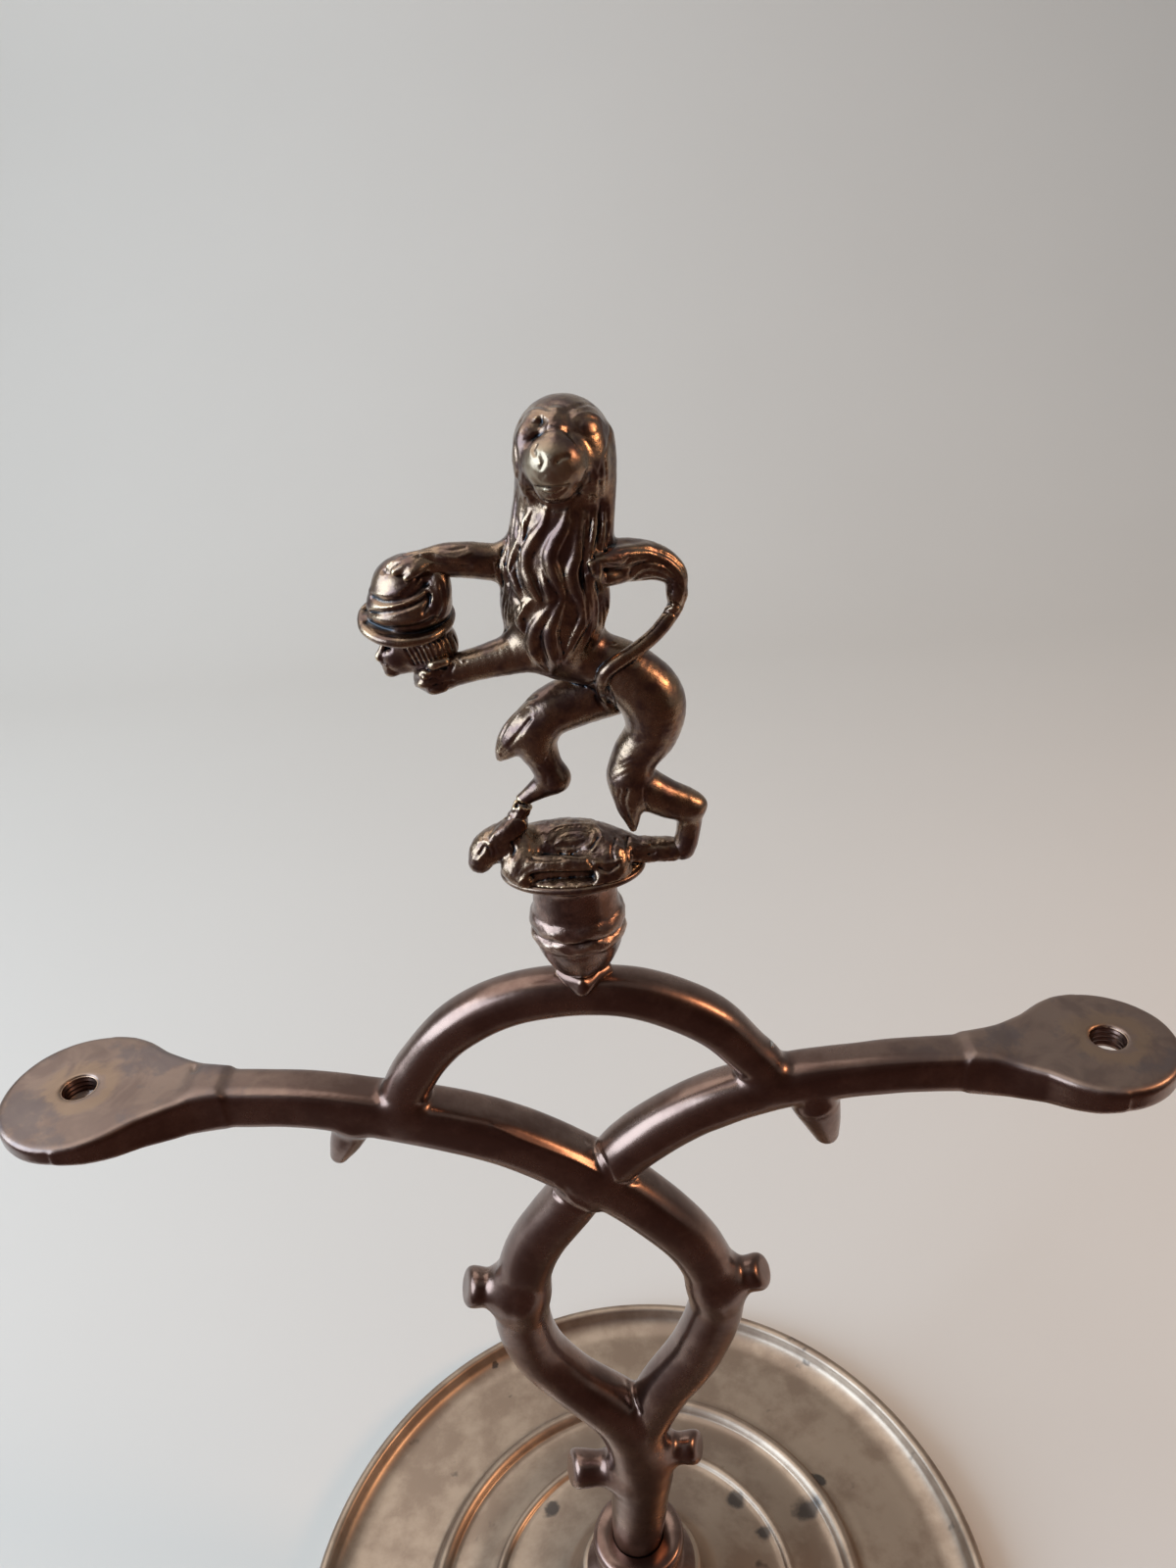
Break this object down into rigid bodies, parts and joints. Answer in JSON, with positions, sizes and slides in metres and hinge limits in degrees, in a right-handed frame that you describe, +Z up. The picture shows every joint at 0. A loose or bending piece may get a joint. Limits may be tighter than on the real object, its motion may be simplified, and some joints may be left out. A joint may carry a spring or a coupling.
{
  "type": "two-branch candelabrum",
  "caption": "Round dished base with a lopped-branch stem, two crossing arms that end in drilled discs, and an arch that carries a lion finial.",
  "frame": {"origin": "on the table, midway between the ends of the two arms and between the front and the back of the base; the stem's axis stands 2.75 mm beside it towards +X", "axes": "+Z up along the stem, +X along the arms towards the viewer's right, -Y towards the side that the lion faces"},
  "size_m": [0.249, 0.2, 0.349],
  "materials": {
    "base_brass": "worn, softly polished brass with brown tarnish",
    "stem_brass": "dark brown patina, polished by handling",
    "finial_brass": "dark patina, bright on the high spots",
    "pin_steel": "dull turned steel"
  },
  "bodies": {
    "base": {"base_dish": "base_brass", "stem_socket": "stem_brass"},
    "branches": {"trunk": "stem_brass", "left_branch": "stem_brass", "right_branch": "stem_brass", "arch": "stem_brass", "fork_pin": "pin_steel", "crossing_pin_upper": "pin_steel", "crossing_pin_lower": "pin_steel", "arch_pin_left": "pin_steel", "arch_pin_right": "pin_steel", "square_collar": "stem_brass", "finial_stud": "pin_steel", "stem_stud": "pin_steel", "base_washer": "base_brass", "base_nut": "base_brass"},
    "finial": {"knop": "finial_brass", "brim_plate": "finial_brass", "beast": "finial_brass", "foot_stub": "finial_brass", "lion": "finial_brass", "lion_foot_pin": "pin_steel", "hatted_head": "finial_brass", "head_pin": "pin_steel"}
  },
  "joints": [
    {"name": "stem_turn", "type": "hinge", "parent": "base", "child": "branches", "pos_m": [0.00275, 0, 0.0336], "axis": [0, 0, 1], "continuous": true},
    {"name": "finial_turn", "type": "hinge", "parent": "branches", "child": "finial", "pos_m": [0.00345, 0, 0.2386], "axis": [0, 0, 1], "continuous": true}
  ]
}
